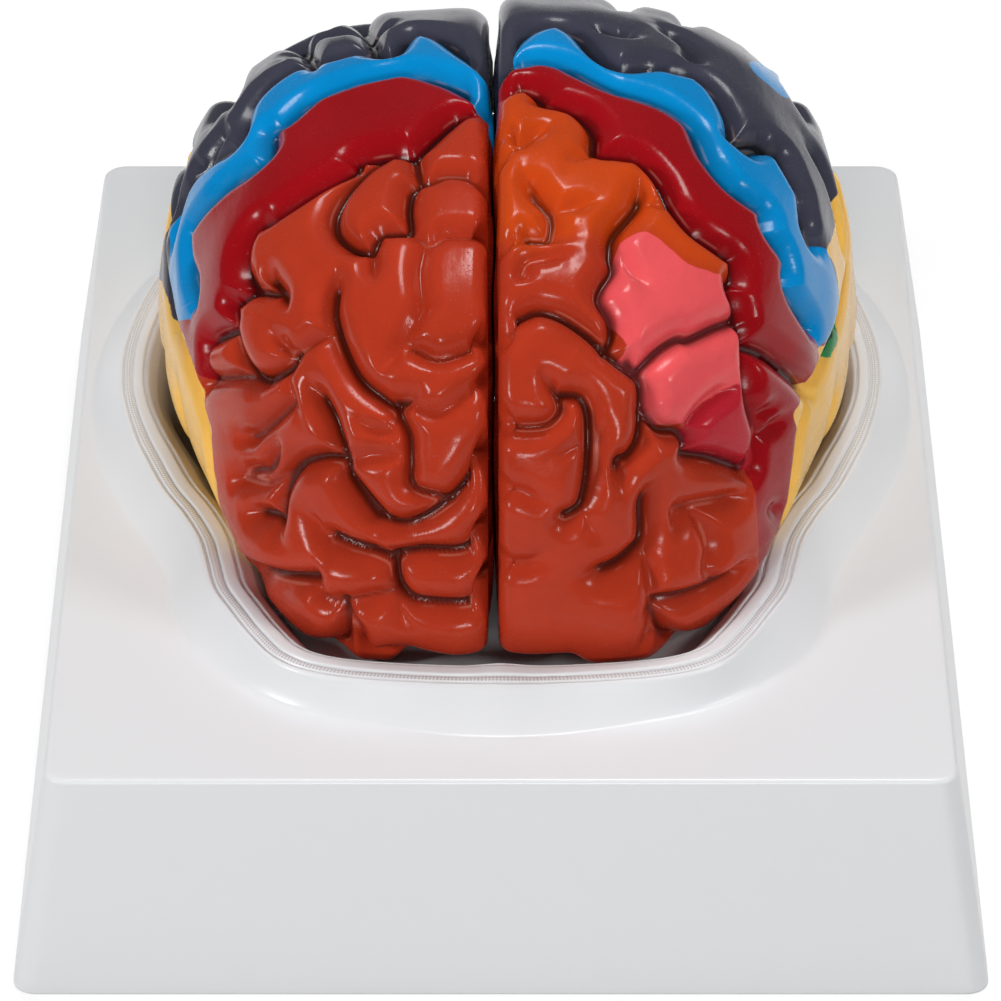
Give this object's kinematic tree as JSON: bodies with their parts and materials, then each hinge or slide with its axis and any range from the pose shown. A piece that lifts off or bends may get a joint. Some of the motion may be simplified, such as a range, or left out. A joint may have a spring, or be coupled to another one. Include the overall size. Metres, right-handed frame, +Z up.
{
  "type": "brain anatomy model",
  "caption": "Life-size brain anatomy model with furrowed lobes painted by functional area, resting in the skull-shaped cavity of a hollow white display base.",
  "frame": {"origin": "middle of the base's bottom rim, on the surface it stands on", "axes": "+Z up, the brow of the brain faces -Y, the brain's left half is on +X"},
  "size_m": [0.1906, 0.2446, 0.1298],
  "materials": {
    "base_plastic": "smooth white moulded plastic, satin gloss",
    "frontal_enamel": "hand-painted glossy enamel in areas of orange-red, dark red, blue, grey and pink",
    "temporal_enamel": "hand-painted glossy enamel, yellow with green and grey areas",
    "cerebellum_enamel": "glossy enamel",
    "stem_enamel": "glossy enamel",
    "pin_steel": "plain turned steel"
  },
  "bodies": {
    "root": {"base": "base_plastic", "left_fronto_parietal": "frontal_enamel", "right_fronto_parietal": "frontal_enamel", "left_temporo_occipital": "temporal_enamel", "right_temporo_occipital": "temporal_enamel", "left_cerebellum": "cerebellum_enamel", "right_cerebellum": "cerebellum_enamel", "left_brainstem": "stem_enamel", "right_brainstem": "stem_enamel", "midline_pins": "pin_steel"}
  },
  "joints": []
}
